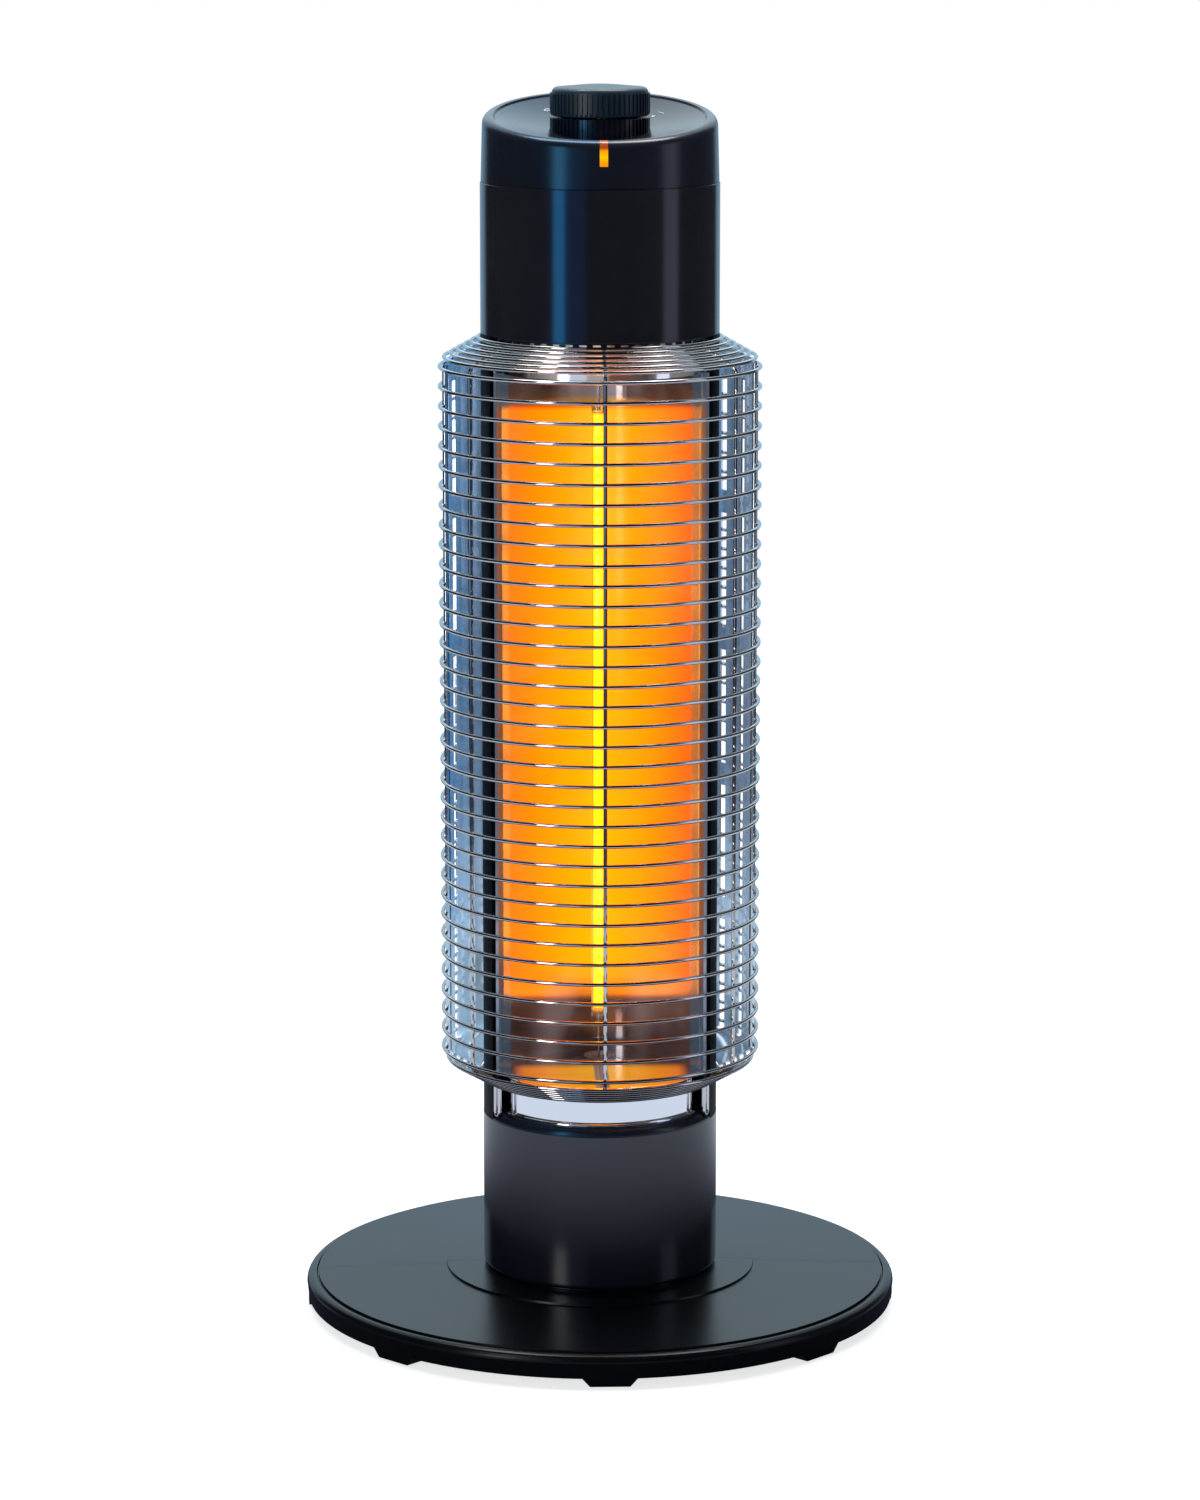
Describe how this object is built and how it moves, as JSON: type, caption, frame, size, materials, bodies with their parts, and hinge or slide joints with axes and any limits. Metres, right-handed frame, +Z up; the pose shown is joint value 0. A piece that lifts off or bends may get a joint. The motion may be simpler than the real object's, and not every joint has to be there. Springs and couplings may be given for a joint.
{
  "type": "halogen heater",
  "caption": "Free-standing radiant tower heater: quartz tube in a polished trough inside a round wire guard, slanted cap with a ribbed rotary knob, flat round stand.",
  "frame": {"origin": "on the floor, under the middle of the round stand", "axes": "+Z up along the tower, -Y towards the front (the open side of the trough), +X to the right of someone facing -Y to +Y"},
  "size_m": [0.26, 0.26, 0.5361],
  "materials": {
    "stand_plastic": "satin moulded plastic, fine grain",
    "black_gloss": "polished black",
    "black_paint": "semi-gloss black paint",
    "housing_paint": "gloss black paint",
    "rubber_black": "soft matte rubber",
    "steel_raw": "plain zinc-plated steel",
    "steel_screw": "zinc-plated",
    "cast_weight": "plain",
    "polished_sheet": "mirror-polished sheet",
    "polished_steel": "polished steel sheet",
    "chrome_wire": "bright chrome plating",
    "ceramic": "glazed steatite ceramic",
    "quartz": "clear fused quartz",
    "glowing_wire": "resistance wire at yellow heat",
    "lead_wire": "nickel wire",
    "amber_lens": "clear amber",
    "neon_lamp": "neon lamp, lit",
    "switch_black": "moulded thermoset",
    "white_plastic": "natural white plastic",
    "brass_part": "turned brass",
    "wire_black": "silicone-sleeved wire",
    "spring_steel": "spring wire",
    "knob_plastic": "satin black plastic"
  },
  "bodies": {
    "tower": {"base_front_half": "stand_plastic", "base_rear_half": "stand_plastic", "ballast_plate": "cast_weight", "foot_pads": "rubber_black", "base_screws": "steel_screw", "column_foot": "steel_raw", "column_screws": "steel_screw", "lower_housing": "housing_paint", "lower_trim_ring": "black_gloss", "lower_bulkhead": "steel_raw", "cord_gland": "rubber_black", "plunger_spring": "spring_steel", "plunger_bracket": "steel_raw", "tip_switch": "switch_black", "lower_terminal_block": "ceramic", "lower_pan": "polished_sheet", "lower_tube_holder": "ceramic", "quartz_tube": "quartz", "heating_coil": "glowing_wire", "tube_leads": "lead_wire", "reflector_trough": "polished_sheet", "upper_collar": "polished_sheet", "upper_tube_holder": "ceramic", "wiring_duct": "steel_raw", "supply_wires": "wire_black", "left_post": "black_paint", "right_post": "black_paint", "rear_shell": "polished_steel", "guard_rings_low": "chrome_wire", "guard_rings_middle": "chrome_wire", "guard_rings_high": "chrome_wire", "guard_top_rings": "chrome_wire", "guard_bottom_rings": "chrome_wire", "guard_uprights": "chrome_wire", "guard_legs": "chrome_wire", "vent_ring": "black_gloss", "upper_bulkhead": "steel_raw", "thermal_fuse": "brass_part", "upper_terminal_block": "ceramic", "upper_housing": "black_paint", "top_cap": "black_gloss", "pilot_lens": "amber_lens", "pilot_lamp": "neon_lamp", "rotary_switch": "switch_black", "switch_nut": "brass_part"},
    "control_knob": {"knob": "knob_plastic", "knob_shaft": "brass_part"},
    "tip_over_plunger": {"tip_plunger": "white_plastic"}
  },
  "joints": [
    {"name": "knob_turn", "type": "hinge", "parent": "tower", "child": "control_knob", "pos_m": [0, 0, 0.5223], "axis": [0, 0, 1], "range_deg": [0, 90]},
    {"name": "plunger_press", "type": "slide", "parent": "tower", "child": "tip_over_plunger", "axis": [0, 0, 1], "range_m": [-0.005, 0], "stiffness_N_per_m": 150, "springref_m": -0.008, "deforming": ["plunger_spring"]}
  ]
}
